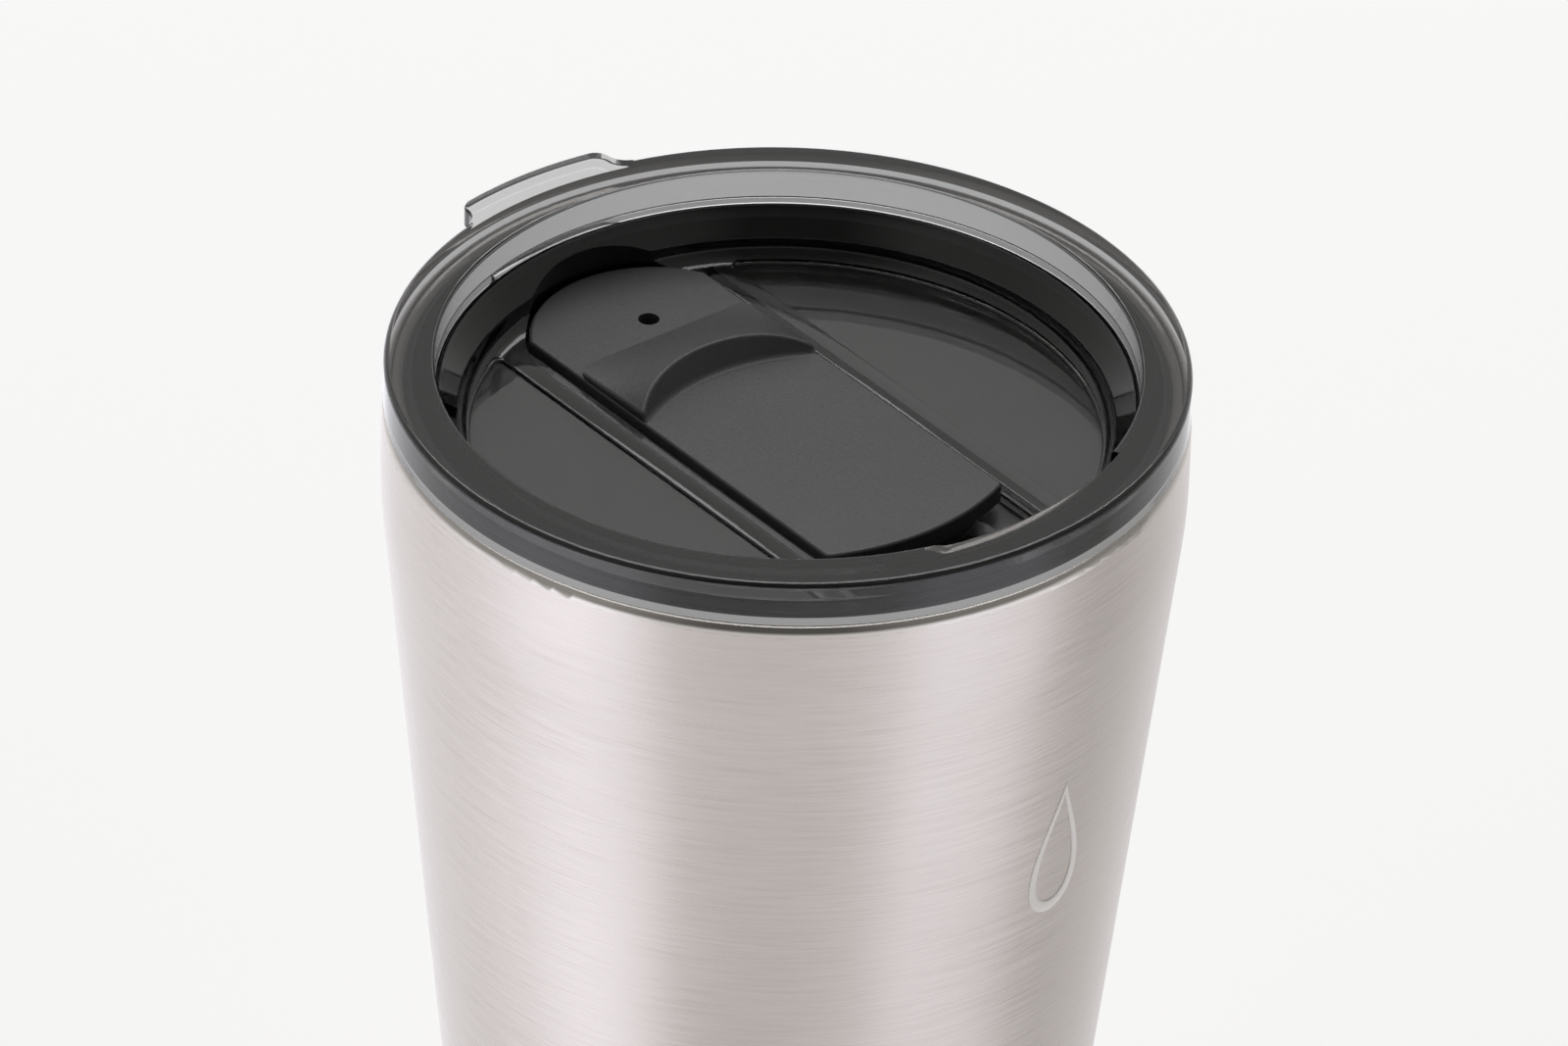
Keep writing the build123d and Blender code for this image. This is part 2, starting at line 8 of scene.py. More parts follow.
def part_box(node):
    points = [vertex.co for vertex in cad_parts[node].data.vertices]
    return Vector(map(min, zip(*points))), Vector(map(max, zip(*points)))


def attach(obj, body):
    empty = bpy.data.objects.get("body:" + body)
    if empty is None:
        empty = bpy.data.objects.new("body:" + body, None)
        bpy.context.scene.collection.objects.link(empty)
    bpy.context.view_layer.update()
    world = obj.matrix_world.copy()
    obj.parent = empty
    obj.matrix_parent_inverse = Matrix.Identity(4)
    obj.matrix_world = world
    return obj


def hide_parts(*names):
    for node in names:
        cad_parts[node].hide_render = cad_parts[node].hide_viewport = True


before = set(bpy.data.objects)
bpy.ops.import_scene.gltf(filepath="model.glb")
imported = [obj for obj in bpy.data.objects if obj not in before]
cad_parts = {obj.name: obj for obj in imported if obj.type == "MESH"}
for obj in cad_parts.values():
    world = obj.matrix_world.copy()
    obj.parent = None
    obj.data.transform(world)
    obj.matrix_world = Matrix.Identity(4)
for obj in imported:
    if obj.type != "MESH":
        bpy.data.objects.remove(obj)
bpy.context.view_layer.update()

scene = bpy.context.scene
scene.view_settings.view_transform = "Standard"

# Lengths are millimetres. The lid's radii run from the upright axis, its depths run down from
# its flat top, the drinking side faces -Y and the thumb tab points along +Y.
MM = 0.001
LID_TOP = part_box("lid_body")[1].z / MM

# ---- dimensions: cup -----------------------------------------------------------------
BODY_SLOPE = 0.106          # radius gained per millimetre of height on the tapered wall
BODY_MAX_RADIUS = 44.6
CONE_TOP = 128.4            # height where the taper meets the upright top band
DROP_HEIGHT = 100.4         # etched water drop: height of its middle
DROP_BEARING = -80.5
DROP_SIZE = 9.0             # from its middle to its tip
DROP_LINE = 1.5             # width of the etched line

# ---- dimensions: lid -----------------------------------------------------------------
FLANGE_THICK = 5.38
OPENING_RADIUS = 38.95      # inner edge of the flat flange
WELL_RADIUS = 36.1          # lower wall of the recess
FLOOR_DEPTH = 9.5           # raised borders beside the slider
FLOOR_UNDER = 11.8          # underside of the floor
PLUG_RADIUS = 40.6
GROOVE_RADIUS = 38.7        # bottom of the groove that holds the gasket
GROOVE_TOP = 6.0
GROOVE_BOTTOM = 11.2
FOOT_RADIUS = 40.1
FOOT_DEPTH = 13.2
PANEL_RADIUS = 34.8         # side panels
PANEL_DEPTH = 9.9
PANEL_RIM = 0.36            # rounding of their rims
PANEL_CORNER = 0.5
BORDER_HALF = 16.4          # from the middle to the panels' straight edges
TAB_RADIUS = 47.6
TAB_THICK = 2.6
TAB_EDGE = 1.1              # rounding of its top and bottom edges
TAB_HALF_ANGLE = 10.1       # centre of the rounded tip corners, from the middle of the tab
TAB_ROOT_ANGLE = 15.4
TAB_CORNER = 2.0
TAB_ROOT = 2.5
TAB_FOOT = 44.45            # circle that the hollow corners at its root touch
TAB_BURIED = 4              # how far it reaches into the flange
CHANNEL_HALF = 12.75
CHANNEL_DEPTH = 12.2
CHANNEL_RIM = 0.3
TAIL_CENTRE = 23.0          # centre of the round pocket behind the slider
TAIL_RADIUS = 14.7
BED_RADIUS = 37.7           # thick bed under the channel
BED_HALF = 15.2
BED_TOP = 10.5
BED_BOTTOM = 14.1
RAIL_HALF = 13.45           # groove that the slider's ribs run in
RAIL_FRONT = -31.0
RAIL_BACK = 25.0
RAIL_TOP = 10.6
RAIL_BOTTOM = 11.7
HOLE_HALF = 9.2             # drinking hole
HOLE_FRONT = -33.1
HOLE_BACK = -22.7
VENT = (1.2, 26.2)
VENT_RADIUS = 1.2
RELIEF_RADIUS = 39.85       # drinking-side relief of the flange's inner edge
RELIEF_DEPTH = 2.5
RELIEF_START = -102
RELIEF_END = -63.5
RELIEF_FADE = 1.05          # radius it loses while it runs out
RELIEF_FADE_ANGLE = 5
RELIEF_INSIDE = 37.9        # inner radius of its cutter, clear of the flange
FIN_RADIUS = 41.62          # gasket
FIN_EDGE = 0.12
FINE_STEPS = 320            # facets round a turned piece
SHARP_ANGLE = math.radians(28)


def below(depth):
    """Height of a point that lies this far under the flat top of the lid."""
    return LID_TOP - depth


def body_radius(height):
    """Outside radius of the tapered wall at this height."""
    return BODY_MAX_RADIUS - BODY_SLOPE * (CONE_TOP - height)


# ---- camera --------------------------------------------------------------------------

VIEW_AZIMUTH = math.radians(-39.3)      # the lid's tab points away, behind and to the left
VIEW_PITCH = math.radians(33.49)        # camera looks down at the lid
VIEW_ROLL = math.radians(1.866)
VIEW_PLACE = Vector((0.097, -1511.0, 978.36))   # from the middle of the lid's top, before the turn
TURN = Matrix.Rotation(VIEW_AZIMUTH, 4, "Z")


def make_camera():
    data = bpy.data.cameras.new("camera")
    data.sensor_width = 36
    data.lens = 376.4
    data.clip_start = 0.05
    data.clip_end = 50
    camera = bpy.data.objects.new("camera", data)
    scene.collection.objects.link(camera)
    cos_pitch, sin_pitch = math.cos(VIEW_PITCH), math.sin(VIEW_PITCH)
    cos_roll, sin_roll = math.cos(VIEW_ROLL), math.sin(VIEW_ROLL)
    right = Vector((cos_roll, sin_roll * sin_pitch, sin_roll * cos_pitch))
    up = Vector((-sin_roll, cos_roll * sin_pitch, cos_roll * cos_pitch))
    back = Vector((0, -cos_pitch, sin_pitch))
    place = Matrix((right, up, back)).transposed().to_4x4()
    place.translation = VIEW_PLACE * MM
    camera.matrix_world = Matrix.Translation((0, 0, LID_TOP * MM)) @ TURN @ place
    scene.camera = camera


# ---- shader nodes --------------------------------------------------------------------

# A mix node's sockets for colours, which share their names with its other sockets.
COLOUR_A, COLOUR_B, COLOUR_RESULT = 6, 7, 2


def new_material(name):
    material = bpy.data.materials.new(name)
    material.use_nodes = True
    nodes = material.node_tree.nodes
    return material, nodes, material.node_tree.links, nodes["Principled BSDF"]


def feed(links, socket, value):
    """Links a socket to another node's output, or sets it to a plain value."""
    if isinstance(value, bpy.types.NodeSocket):
        links.new(value, socket)
    else:
        socket.default_value = value


def compute(nodes, links, operation, *terms):
    """Result of a maths node whose terms are numbers or other nodes' outputs."""
    node = nodes.new("ShaderNodeMath")
    node.operation = operation
    for socket, term in zip(node.inputs, terms):
        feed(links, socket, term)
    return node.outputs[0]


def split(nodes, links, vector):
    """X, Y and Z of a vector."""
    node = nodes.new("ShaderNodeSeparateXYZ")
    links.new(vector, node.inputs["Vector"])
    return node.outputs


def span(nodes, links, source, start, end, top=1.0, shape="LINEAR"):
    """Number that goes from 0 to top while the source goes from start to end."""
    node = nodes.new("ShaderNodeMapRange")
    node.interpolation_type = shape
    node.inputs["From Min"].default_value = start
    node.inputs["From Max"].default_value = end
    node.inputs["To Max"].default_value = top
    links.new(source, node.inputs["Value"])
    return node.outputs["Result"]


def mix_colours(nodes, links, factor, low, high):
    """Colour that goes from low to high with the factor; high may be a plain colour."""
    node = nodes.new("ShaderNodeMix")
    node.data_type = "RGBA"
    links.new(factor, node.inputs["Factor"])
    links.new(low, node.inputs[COLOUR_A])
    feed(links, node.inputs[COLOUR_B], high)
    return node.outputs[COLOUR_RESULT]


def stretched_noise(nodes, links, stretch, detail=4.0, roughness=0.6):
    """Noise in the object's own space, with its own scale (per metre) along each axis."""
    place = nodes.new("ShaderNodeTexCoord")
    mapping = nodes.new("ShaderNodeMapping")
    mapping.inputs["Scale"].default_value = stretch
    noise = nodes.new("ShaderNodeTexNoise")
    noise.inputs["Scale"].default_value = 1.0
    noise.inputs["Detail"].default_value = detail
    noise.inputs["Roughness"].default_value = roughness
    links.new(place.outputs["Object"], mapping.inputs["Vector"])
    links.new(mapping.outputs["Vector"], noise.inputs["Vector"])
    return noise.outputs["Fac"]


def ramp(nodes, links, source, stops):
    """Colour ramp with (position, grey or colour) stops."""
    node = nodes.new("ShaderNodeValToRGB")
    elements = node.color_ramp.elements
    while len(elements) < len(stops):
        elements.new(0.5)
    for element, (position, colour) in zip(elements, stops):
        element.position = position
        element.color = (colour, colour, colour, 1) if isinstance(colour, float) else (*colour, 1)
    links.new(source, node.inputs["Fac"])
    return node.outputs["Color"]


def add_bump(nodes, links, shader, height, strength, distance):
    """Fine relief of the surface; distance is its depth in millimetres."""
    bump = nodes.new("ShaderNodeBump")
    bump.inputs["Strength"].default_value = strength
    bump.inputs["Distance"].default_value = distance * MM
    links.new(height, bump.inputs["Height"])
    links.new(bump.outputs["Normal"], shader.inputs["Normal"])


# ---- materials -----------------------------------------------------------------------

def steel(name, light, dark, rough, stretch, bump, anisotropy=0.0):
    """Brushed stainless: fine streaks along the noise's stretch, with slow cloudy variation."""
    material, nodes, links, shader = new_material(name)
    shader.inputs["Metallic"].default_value = 1.0
    shader.inputs["Anisotropic"].default_value = anisotropy
    shader.inputs["Anisotropic Rotation"].default_value = 0.25
    tangent = nodes.new("ShaderNodeTangent")
    tangent.direction_type = "RADIAL"
    tangent.axis = "Z"
    links.new(tangent.outputs["Tangent"], shader.inputs["Tangent"])
    streaks = stretched_noise(nodes, links, stretch)
    clouds = stretched_noise(nodes, links, (22, 22, 14), detail=2.0)
    streak_share = 0.65
    cloud_part = compute(nodes, links, "MULTIPLY", clouds, 1 - streak_share)
    mixed = compute(nodes, links, "MULTIPLY_ADD", streaks, streak_share, cloud_part)
    colour = ramp(nodes, links, mixed, [(0.37, dark), (0.63, light)])
    links.new(colour, shader.inputs["Base Color"])
    links.new(ramp(nodes, links, streaks, [(0.3, rough[0]), (0.7, rough[1])]), shader.inputs["Roughness"])
    add_bump(nodes, links, shader, streaks, bump, 0.04)
    return material


def smoke_plastic():
    """Clear grey-tinted moulding, polished on top and frosted underneath. The tint is in its depth."""
    polished_to, frosted_from = 10.0, 10.3      # depths under the lid's top
    material, nodes, links, shader = new_material("smoke_plastic_clear")
    shader.inputs["Transmission Weight"].default_value = 1.0
    shader.inputs["IOR"].default_value = 1.55
    tint = stretched_noise(nodes, links, (60, 60, 60), detail=1.0)
    colour = ramp(nodes, links, tint, [(0.3, (0.93, 0.935, 0.93)), (0.7, (0.96, 0.965, 0.96))])
    links.new(colour, shader.inputs["Base Color"])
    scuffs = stretched_noise(nodes, links, (700, 700, 700), detail=3.0)
    polished = ramp(nodes, links, scuffs, [(0.4, 0.02), (0.85, 0.07)])
    frosted = ramp(nodes, links, scuffs, [(0.3, 0.34), (0.7, 0.46)])
    place = nodes.new("ShaderNodeTexCoord")
    height = split(nodes, links, place.outputs["Object"])["Z"]
    finish = nodes.new("ShaderNodeMix")
    down = span(nodes, links, height, below(polished_to) * MM, below(frosted_from) * MM)
    links.new(down, finish.inputs["Factor"])
    links.new(polished, finish.inputs["A"])
    links.new(frosted, finish.inputs["B"])
    links.new(finish.outputs["Result"], shader.inputs["Roughness"])
    depth = nodes.new("ShaderNodeVolumeAbsorption")
    depth.inputs["Color"].default_value = (0.02, 0.02, 0.04, 1)
    depth.inputs["Density"].default_value = 135
    links.new(depth.outputs["Volume"], nodes["Material Output"].inputs["Volume"])
    return material


def grained(name, dark, light, rough, scale, bump, distance, sheen=0.5):
    """Matt surface with a fine even grain; scale is the grain's, per metre."""
    material, nodes, links, shader = new_material(name)
    grain = stretched_noise(nodes, links, (scale, scale, scale), detail=3.0, roughness=0.7)
    slow = stretched_noise(nodes, links, (70, 70, 70), detail=2.0)
    links.new(ramp(nodes, links, slow, [(0.3, dark), (0.7, light)]), shader.inputs["Base Color"])
    links.new(ramp(nodes, links, grain, [(0.3, rough[0]), (0.7, rough[1])]), shader.inputs["Roughness"])
    shader.inputs["Specular IOR Level"].default_value = sheen
    add_bump(nodes, links, shader, grain, bump, distance)
    return material


def dress(node, material):
    """Gives a CAD node its looks."""
    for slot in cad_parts[node].material_slots:
        slot.material = material


# ---- outlines ------------------------------------------------------------------------

def polar(radius, degrees):
    return (radius * math.cos(math.radians(degrees)), radius * math.sin(math.radians(degrees)))


def arc(centre, radius, start, end, steps):
    """Points on a circle, angles in degrees."""
    points = []
    for step in range(steps + 1):
        x, y = polar(radius, start + (end - start) * step / steps)
        points.append((centre[0] + x, centre[1] + y))
    return points


def rounded(corners, steps=5):
    """Closed outline through corners given as x, y and the radius that each is rounded to."""
    outline = []
    for index, (x, y, radius) in enumerate(corners):
        here = Vector((x, y))
        if not radius:
            outline.append(here)
            continue
        before = Vector(corners[index - 1][:2]) - here
        after = Vector(corners[(index + 1) % len(corners)][:2]) - here
        half = before.angle(after) / 2
        reach = radius / math.tan(half)
        start = here + before.normalized() * reach
        end = here + after.normalized() * reach
        inwards = (before.normalized() + after.normalized()).normalized()
        centre = here + inwards * (radius / math.sin(half))
        first, last = start - centre, end - centre
        sweep = first.angle_signed(last)
        for step in range(steps + 1):
            turn = -sweep * step / steps
            spun = Vector((
                first.x * math.cos(turn) - first.y * math.sin(turn),
                first.x * math.sin(turn) + first.y * math.cos(turn),
            ))
            outline.append(centre + spun)
    return outline


def grown(outline, amount):
    """The same closed outline, moved outwards."""
    points = [Vector((x, y)) for x, y in outline]
    area = sum(a.x * b.y - a.y * b.x for a, b in zip(points, points[1:] + points[:1]))
    side = math.copysign(amount, area)
    result = []
    for index, here in enumerate(points):
        along = (points[(index + 1) % len(points)] - points[index - 1]).normalized()
        result.append(here + Vector((along.y, -along.x)) * side)
    return result


def profile(corners, steps=5):
    """Section of a turned piece, from corners given as radius, depth and rounding."""
    return rounded([(radius, below(depth), rounding) for radius, depth, rounding in corners], steps)


# ---- meshes --------------------------------------------------------------------------

def mesh_object(name, vertices, faces):
    mesh = bpy.data.meshes.new(name)
    mesh.from_pydata([Vector(v) * MM for v in vertices], [], faces)
    mesh.update()
    piece = bpy.data.objects.new(name, mesh)
    scene.collection.objects.link(piece)
    return piece


def facing_out(piece):
    shape = bmesh.new()
    shape.from_mesh(piece.data)
    bmesh.ops.recalc_face_normals(shape, faces=shape.faces)
    shape.to_mesh(piece.data)
    shape.free()


def lathe(name, outline):
    """Solid of revolution from a closed outline of radius and height."""
    vertices, faces, rings = [], [], []
    for radius, height in outline:
        if radius < 1e-6:       # a point on the axis itself
            rings.append([len(vertices)] * FINE_STEPS)
            vertices.append((0, 0, height))
            continue
        rings.append(list(range(len(vertices), len(vertices) + FINE_STEPS)))
        for step in range(FINE_STEPS):
            turn = 2 * math.pi * (step + 0.5) / FINE_STEPS
            vertices.append((radius * math.cos(turn), radius * math.sin(turn), height))
    for here, there in zip(rings, rings[1:] + rings[:1]):
        for step in range(FINE_STEPS):
            after = (step + 1) % FINE_STEPS
            corners = [here[step], here[after], there[after], there[step]]
            face = [v for k, v in enumerate(corners) if v != corners[k - 1]]
            if len(set(face)) > 2:
                faces.append(face)
    piece = mesh_object(name, vertices, faces)
    facing_out(piece)
    return piece


def stack(name, levels):
    """Upright solid through closed outlines of equal count, each at its own height."""
    count = len(levels[0][0])
    vertices = [(x, y, height) for outline, height in levels for x, y in outline]
    last = count * (len(levels) - 1)
    faces = [list(range(count)), list(range(last, last + count))]
    for ring in range(0, last, count):
        for step in range(count):
            after = (step + 1) % count
            faces.append([ring + step, ring + after, ring + count + after, ring + count + step])
    piece = mesh_object(name, vertices, faces)
    facing_out(piece)
    return piece


def prism(name, outline, bottom, top):
    """Upright solid between two depths."""
    return stack(name, [(outline, below(bottom)), (outline, below(top))])


def pocket(name, outline_at, bottom, rim, top, steps=5):
    """Cutter for a pocket in the lid's floor with a rounded rim; outline_at(growth) is its outline."""
    levels = [(outline_at(0), below(bottom))]
    for step in range(steps + 1):
        turn = math.pi / 2 * step / steps
        growth = rim * (1 - math.cos(turn))
        levels.append((outline_at(growth), below(FLOOR_DEPTH + rim * (1 - math.sin(turn)))))
    levels.append((outline_at(rim), below(top)))
    return stack(name, levels)


def settle(piece):
    """Makes what the modifiers do part of the mesh."""
    graph = bpy.context.evaluated_depsgraph_get()
    result = bpy.data.meshes.new_from_object(
        piece.evaluated_get(graph), preserve_all_data_layers=True, depsgraph=graph
    )
    piece.modifiers.clear()
    old = piece.data
    piece.data = result
    bpy.data.meshes.remove(old)


def combine(piece, other, operation):
    """Boolean with another object, which is used up."""
    modifier = piece.modifiers.new("combine", "BOOLEAN")
    modifier.object = other
    modifier.operation = operation
    modifier.solver = "EXACT"
    settle(piece)
    bpy.data.objects.remove(other)


def put_on(piece, material, body):
    """Gives a mesh one material and smooth shading, and ties it to its body."""
    piece.data.materials.clear()
    piece.data.materials.append(material)
    for polygon in piece.data.polygons:
        polygon.use_smooth = True
    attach(piece, body)


def crisp(piece):
    """Keeps edges sharp and flat faces flat under smooth shading."""
    piece.data.set_sharp_from_angle(angle=SHARP_ANGLE)
    normals = piece.modifiers.new("flat_faces", "WEIGHTED_NORMAL")
    normals.keep_sharp = True
    normals.weight = 100
    settle(piece)


# ---- etched mark ---------------------------------------------------------------------

def drop_point(turn, inset):
    """Outline of a water drop: round below, drawn out to a tip above."""
    x = math.sin(turn) * math.sin(turn / 2) ** 1.6
    y = math.cos(turn)
    return x * (0.62 * DROP_SIZE - inset), y * (DROP_SIZE - inset)


def etched_drop(material):
    """Generic laser-etched water drop on the drinking side of the body."""
    sunk, proud, points = -0.06, 0.02, 96
    line = [(0, sunk)] + [(DROP_LINE * share / 3, proud) for share in range(4)] + [(DROP_LINE, sunk)]
    vertices, faces = [], []
    for step in range(points):
        for inset, lift in line:
            across, up = drop_point(2 * math.pi * step / points, inset)
            z = DROP_HEIGHT + up
            radius = body_radius(z) + lift
            bearing = math.radians(DROP_BEARING) + across / radius
            vertices.append((radius * math.cos(bearing), radius * math.sin(bearing), z))
    for step in range(points):
        here = step * len(line)
        there = (step + 1) % points * len(line)
        for edge in range(len(line) - 1):
            faces.append((here + edge, there + edge, there + edge + 1, here + edge + 1))
    put_on(mesh_object("etched_drop", vertices, faces), material, "cup")


# ---- lid and gasket ------------------------------------------------------------------

def lid_blank():
    """Flange, sloped well, floor and plug wall with the gasket's groove, turned in one."""
    return lathe("lid_clear", profile([
        (0, FLOOR_DEPTH, 0), (WELL_RADIUS, FLOOR_DEPTH, 2.0), (WELL_RADIUS, 7.0, 0.8),
        (38.75, 4.4, 1.5), (OPENING_RADIUS, 0, 0.5), (44.48, 0, 0.7), (44.42, FLANGE_THICK, 0.25),
        (PLUG_RADIUS, FLANGE_THICK, 0.15), (PLUG_RADIUS, GROOVE_TOP, 0.1), (GROOVE_RADIUS, GROOVE_TOP, 0),
        (GROOVE_RADIUS, GROOVE_BOTTOM, 0), (FOOT_RADIUS, GROOVE_BOTTOM, 0.15), (FOOT_RADIUS, 12.3, 0.3),
        (39.2, FOOT_DEPTH, 0.3), (36.9, FOOT_DEPTH, 0.4), (36.4, FLOOR_UNDER, 0.6), (0, FLOOR_UNDER, 0),
    ]))


def panel_cutter(side):
    """Shallow panel on one side of the lid, between a straight border and a round one."""
    turn = math.degrees(math.acos(BORDER_HALF / PANEL_RADIUS))
    edge = arc((0, 0), PANEL_RADIUS, -turn, turn, steps=60)
    ends = (0, len(edge) - 1)
    outline = rounded([(side * x, y, PANEL_CORNER if k in ends else 0) for k, (x, y) in enumerate(edge)])
    return pocket("panel", lambda growth: grown(outline, growth), PANEL_DEPTH, PANEL_RIM, top=8.5)


def tab_outline():
    """Thumb tab: rounded tip corners that run into the flange through hollow corners."""
    half = arc((0, 0), TAB_RADIUS, 90, 90 - TAB_HALF_ANGLE, steps=10)
    corner = polar(TAB_RADIUS - TAB_CORNER, 90 - TAB_HALF_ANGLE)
    hollow = polar(TAB_FOOT + TAB_ROOT, 90 - TAB_ROOT_ANGLE)
    meet = math.degrees(math.atan2(hollow[1] - corner[1], hollow[0] - corner[0]))
    half += arc(corner, TAB_CORNER, 90 - TAB_HALF_ANGLE, meet, steps=8)[1:]
    half += arc(hollow, TAB_ROOT, meet + 180, 270 - TAB_ROOT_ANGLE, steps=8)[1:]
    half += [polar(TAB_FOOT - TAB_BURIED, 90 - TAB_ROOT_ANGLE)]
    return half + [(-x, y) for x, y in reversed(half[1:])]


def tab():
    """The thumb tab, with its top and bottom edges rounded."""
    piece = prism("tab", tab_outline(), TAB_THICK, 0)
    shape = bmesh.new()
    shape.from_mesh(piece.data)
    rims = [e for e in shape.edges if abs(e.verts[0].co.z - e.verts[1].co.z) < 1e-7]
    bmesh.ops.bevel(
        shape, geom=rims, offset=TAB_EDGE * MM, segments=6, profile=0.5, affect="EDGES",
        clamp_overlap=True,
    )
    shape.to_mesh(piece.data)
    shape.free()
    return piece


def bed():
    """Thick bed that the slider's channel is cut into."""
    turn = math.degrees(math.acos(BED_HALF / BED_RADIUS))
    outline = arc((0, 0), BED_RADIUS, turn, 180 - turn, steps=40)
    outline += arc((0, 0), BED_RADIUS, 180 + turn, 360 - turn, steps=40)
    return prism("bed", outline, BED_BOTTOM, BED_TOP)


def channel_outline(growth):
    """Slider channel: straight sides, the well's wall in front, a round pocket behind."""
    half = CHANNEL_HALF + growth
    front = math.degrees(math.asin(half / WELL_RADIUS))
    tail = math.degrees(math.acos(half / TAIL_RADIUS))
    outline = arc((0, 0), WELL_RADIUS, 270 - front, 270 + front, steps=30)
    return outline + arc((0, TAIL_CENTRE), TAIL_RADIUS, tail, 180 - tail, steps=40)


def relief_outline():
    """Shallow relief of the inner edge where the lips rest. It runs out gently at one end."""
    outline = arc((0, 0), RELIEF_RADIUS, RELIEF_END, RELIEF_START, steps=40)
    for step in range(1, 9):
        share = step / 8
        ease = share * share * (3 - 2 * share)
        outline.append(polar(RELIEF_RADIUS - RELIEF_FADE * ease, RELIEF_START - RELIEF_FADE_ANGLE * share))
    return outline + arc((0, 0), RELIEF_INSIDE, RELIEF_START - RELIEF_FADE_ANGLE, RELIEF_END, steps=40)


def lid_shell(material):
    """Clear lid in one moulding. The cutters reach a little past the surfaces they open."""
    lid = lid_blank()
    for side in (-1, 1):
        combine(lid, panel_cutter(side), "DIFFERENCE")
    combine(lid, tab(), "UNION")
    combine(lid, bed(), "UNION")
    combine(lid, pocket("channel", channel_outline, CHANNEL_DEPTH, CHANNEL_RIM, top=4.5), "DIFFERENCE")
    rails = [
        (RAIL_HALF, RAIL_BACK), (-RAIL_HALF, RAIL_BACK),
        (-RAIL_HALF, RAIL_FRONT), (RAIL_HALF, RAIL_FRONT),
    ]
    combine(lid, prism("rails", rails, RAIL_BOTTOM, RAIL_TOP), "DIFFERENCE")
    hole = rounded([
        (HOLE_HALF, HOLE_BACK, 1.5), (-HOLE_HALF, HOLE_BACK, 1.5),
        (-HOLE_HALF, HOLE_FRONT, 6.0), (HOLE_HALF, HOLE_FRONT, 6.0),
    ], steps=10)
    vent = arc(VENT, VENT_RADIUS, 0, 345, steps=23)
    for name, outline in (("hole", hole), ("vent", vent)):
        combine(lid, prism(name, outline, BED_BOTTOM + 0.5, CHANNEL_DEPTH - 0.2), "DIFFERENCE")
    combine(lid, prism("relief", relief_outline(), RELIEF_DEPTH, -1), "DIFFERENCE")
    put_on(lid, material, "lid")
    crisp(lid)
    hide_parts("lid_body")


def gasket_piece(material):
    """Finned sleeve bonded to the plug, its top face against the underside of the flange."""
    section = [
        (40.58, 5.36), (41.3, 5.36), (FIN_RADIUS, 5.6), (FIN_RADIUS, 5.8), (41.0, 6.2), (40.1, 6.6),
        (40.1, 7.0), (41.0, 7.4), (FIN_RADIUS, 7.6), (FIN_RADIUS, 7.9), (40.1, 8.6),
        (40.1, 9.1), (41.0, 9.6), (FIN_RADIUS, 9.8), (FIN_RADIUS, 10.1), (40.1, 10.8),
        (40.0, 11.18), (38.68, 11.18), (38.68, 5.98), (40.58, 5.98),
    ]
    corners = [(r, depth, FIN_EDGE if r == FIN_RADIUS else 0) for r, depth in section]
    gasket = lathe("plug_gasket", profile(corners, steps=3))
    put_on(gasket, material, "lid")
    crisp(gasket)
    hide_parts("lid_gasket")


# ---- studio --------------------------------------------------------------------------

# Brightness of the room low down and high up: degrees round from the camera's side, then level.
ROOM_LOW = [
    (-180, 1.2), (-166, 1.32), (-148, 1.18), (-134, 1.12), (-120, 1.06), (-106, 1.12), (-92, 1.25),
    (-77, 1.54), (-62, 1.64), (-46, 1.5), (-30, 0.9), (-12, 0.83), (0, 0.84), (14, 0.88), (30, 1.0),
    (46, 1.42), (60, 1.36), (76, 1.26), (90, 0.76), (104, 0.6), (120, 0.76), (134, 0.84), (148, 0.92),
    (164, 1.0), (180, 1.2),
]
ROOM_HIGH = [
    (-180, 0.68), (-120, 0.5), (-85, 0.4), (-55, 0.4), (-32, 0.2), (-20, 0.12), (20, 0.12), (38, 0.25),
    (55, 0.3), (75, 0.3), (110, 0.35), (140, 0.55), (180, 0.68),
]
DIM_LEVEL, BRIGHT_LEVEL = 0.6, 1.4
DIM_TINT, BRIGHT_TINT = (1, 0.985, 0.96), (1, 1.005, 1.065)
GROUND = (0.95, 0.95, 0.94, 1)
BACKDROP = (0.93, 0.93, 0.93, 1)


def make_floor():
    size = 6000
    corners = [(-size, -size, 0), (size, -size, 0), (size, size, 0), (-size, size, 0)]
    floor = mesh_object("floor", corners, [(0, 1, 2, 3)])
    material, nodes, links, shader = new_material("floor_white")
    cloud = stretched_noise(nodes, links, (1.5, 1.5, 1.5), detail=1.0)
    links.new(ramp(nodes, links, cloud, [(0.2, 0.60), (0.8, 0.62)]), shader.inputs["Base Color"])
    shader.inputs["Emission Color"].default_value = (1, 1, 1, 1)
    shader.inputs["Emission Strength"].default_value = 0.49
    shader.inputs["Roughness"].default_value = 0.8
    shader.inputs["Specular IOR Level"].default_value = 0.1
    floor.data.materials.append(material)
    floor.visible_glossy = False        # the steel mirrors the room's light instead


def azimuth_ramp(nodes, links, source, stops):
    """Room light round the horizon, a little warmer where it is dim and cooler where it is bright."""
    coloured = []
    for degrees, level in stops:
        share = min(max((level - DIM_LEVEL) / (BRIGHT_LEVEL - DIM_LEVEL), 0), 1)
        colour = [level * (dim + (bright - dim) * share) for dim, bright in zip(DIM_TINT, BRIGHT_TINT)]
        coloured.append(((degrees + 180) / 360, colour))
    return ramp(nodes, links, source, coloured)


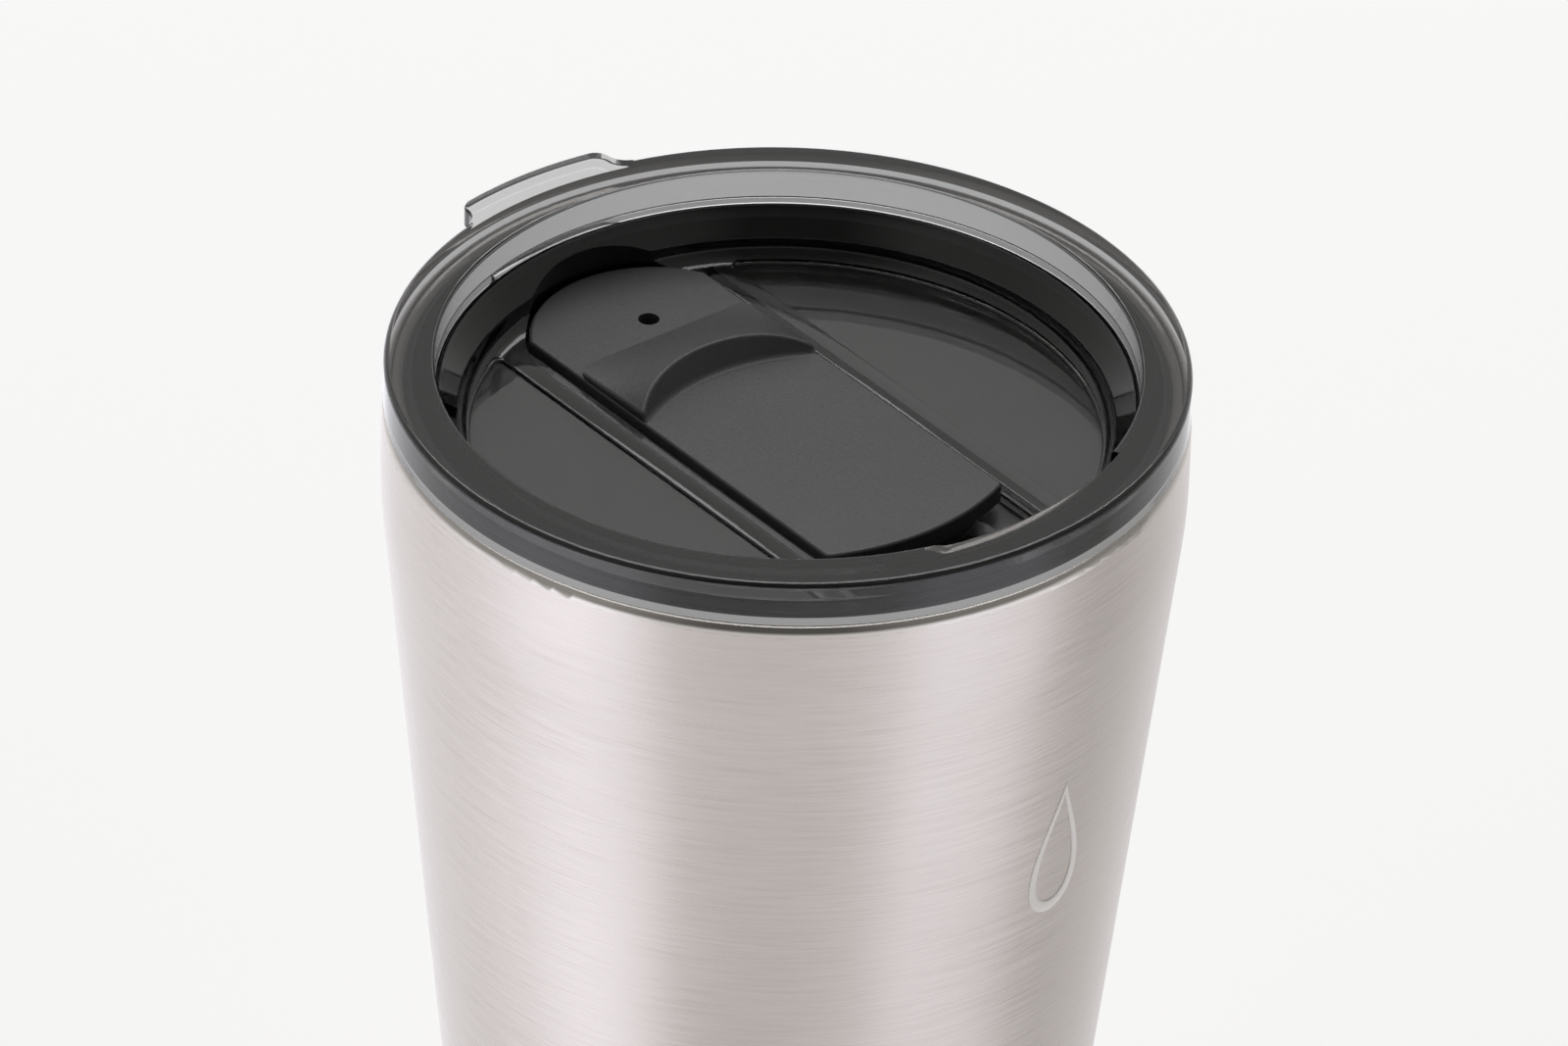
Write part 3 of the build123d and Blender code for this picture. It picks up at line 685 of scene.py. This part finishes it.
def make_world():
    """Room light by direction, brighter left and right low down, over a plain pale ground.
    The camera itself sees a plain white backdrop."""
    world = bpy.data.worlds.new("studio")
    scene.world = world
    world.use_nodes = True
    nodes, links = world.node_tree.nodes, world.node_tree.links
    place = nodes.new("ShaderNodeTexCoord")
    turned = nodes.new("ShaderNodeVectorRotate")
    turned.rotation_type = "Z_AXIS"
    turned.inputs["Angle"].default_value = -VIEW_AZIMUTH
    links.new(place.outputs["Generated"], turned.inputs["Vector"])
    x, y, z = split(nodes, links, turned.outputs["Vector"])
    nearer = compute(nodes, links, "MULTIPLY", y, -1)
    azimuth = compute(nodes, links, "ARCTAN2", x, nearer)
    round_share = compute(nodes, links, "MULTIPLY_ADD", azimuth, 1 / (2 * math.pi), 0.5)
    lower = azimuth_ramp(nodes, links, round_share, ROOM_LOW)
    upper = azimuth_ramp(nodes, links, round_share, ROOM_HIGH)
    rise = span(nodes, links, z, -0.25, 0.35, shape="SMOOTHSTEP")
    fall = span(nodes, links, z, -0.55, -0.75, top=0.35, shape="SMOOTHSTEP")
    low_room = mix_colours(nodes, links, fall, lower, GROUND)
    room = mix_colours(nodes, links, rise, low_room, upper)
    ray = nodes.new("ShaderNodeLightPath")
    seen = mix_colours(nodes, links, ray.outputs["Is Camera Ray"], room, BACKDROP)
    background = nodes["Background"]
    background.inputs["Strength"].default_value = 1.0
    links.new(seen, background.inputs["Color"])


def area_light(name, where, target, size, power):
    """Soft box, placed and aimed in metres before the turn to the view."""
    data = bpy.data.lights.new(name, "AREA")
    data.shape = "RECTANGLE"
    data.size, data.size_y = size
    data.energy = power
    light = bpy.data.objects.new(name, data)
    scene.collection.objects.link(light)
    light.location = TURN @ Vector(where)
    light.rotation_euler = (Vector(target) - light.location).to_track_quat("-Z", "Y").to_euler()


make_camera()
make_world()
make_floor()
area_light("top_box", where=(0, 0.95, 1.75), target=(0, 0, 0.1), size=(1.5, 1.3), power=14.5)

# ---- the tumbler ---------------------------------------------------------------------

outside = steel(
    "steel_outside", light=(0.672, 0.622, 0.597), dark=(0.528, 0.483, 0.460), rough=(0.23, 0.37),
    stretch=(110, 110, 4400), bump=0.3, anisotropy=0.75,
)
inside = steel(
    "steel_inside", light=(0.60, 0.57, 0.54), dark=(0.52, 0.49, 0.46), rough=(0.12, 0.2),
    stretch=(26, 26, 4200), bump=0.1,
)
under = steel(
    "steel_base", light=(0.58, 0.56, 0.54), dark=(0.46, 0.45, 0.43), rough=(0.28, 0.42),
    stretch=(700, 700, 700), bump=0.12,
)
solder = steel(
    "solder_bead", light=0.7, dark=0.6, rough=(0.25, 0.4), stretch=(500, 500, 500), bump=0.3,
)
getter = grained(
    "getter_grey", dark=0.10, light=0.16, rough=(0.6, 0.8), scale=3000, bump=0.6, distance=0.1,
)
smoke = smoke_plastic()
charcoal = grained(
    "slider_charcoal", dark=(0.034, 0.035, 0.038), light=(0.042, 0.043, 0.046), rough=(0.40, 0.54),
    scale=2400, bump=0.5, distance=0.1,
)
pad = grained(
    "seal_pad_dark", dark=0.04, light=0.055, rough=(0.5, 0.65), scale=1800, bump=0.2, distance=0.05,
)
etched = grained(
    "laser_etch_grey", dark=(0.82, 0.78, 0.76), light=(0.88, 0.84, 0.82), rough=(0.55, 0.75),
    scale=4000, bump=0.3, distance=0.03,
)
black = grained(
    "gasket_black", dark=0.006, light=0.011, rough=(0.5, 0.65), scale=1500, bump=0.15, distance=0.04,
    sheen=0.08,
)

dress("outer_shell", outside)
dress("inner_liner", inside)
for node in ("outer_bottom", "base_cap", "getter_clip"):
    dress(node, under)
dress("getter_pellet", getter)
dress("vacuum_seal", solder)
dress("lid_body", smoke)
dress("slider", charcoal)
dress("slider_seal", pad)
lid_shell(smoke)
gasket_piece(black)
etched_drop(etched)
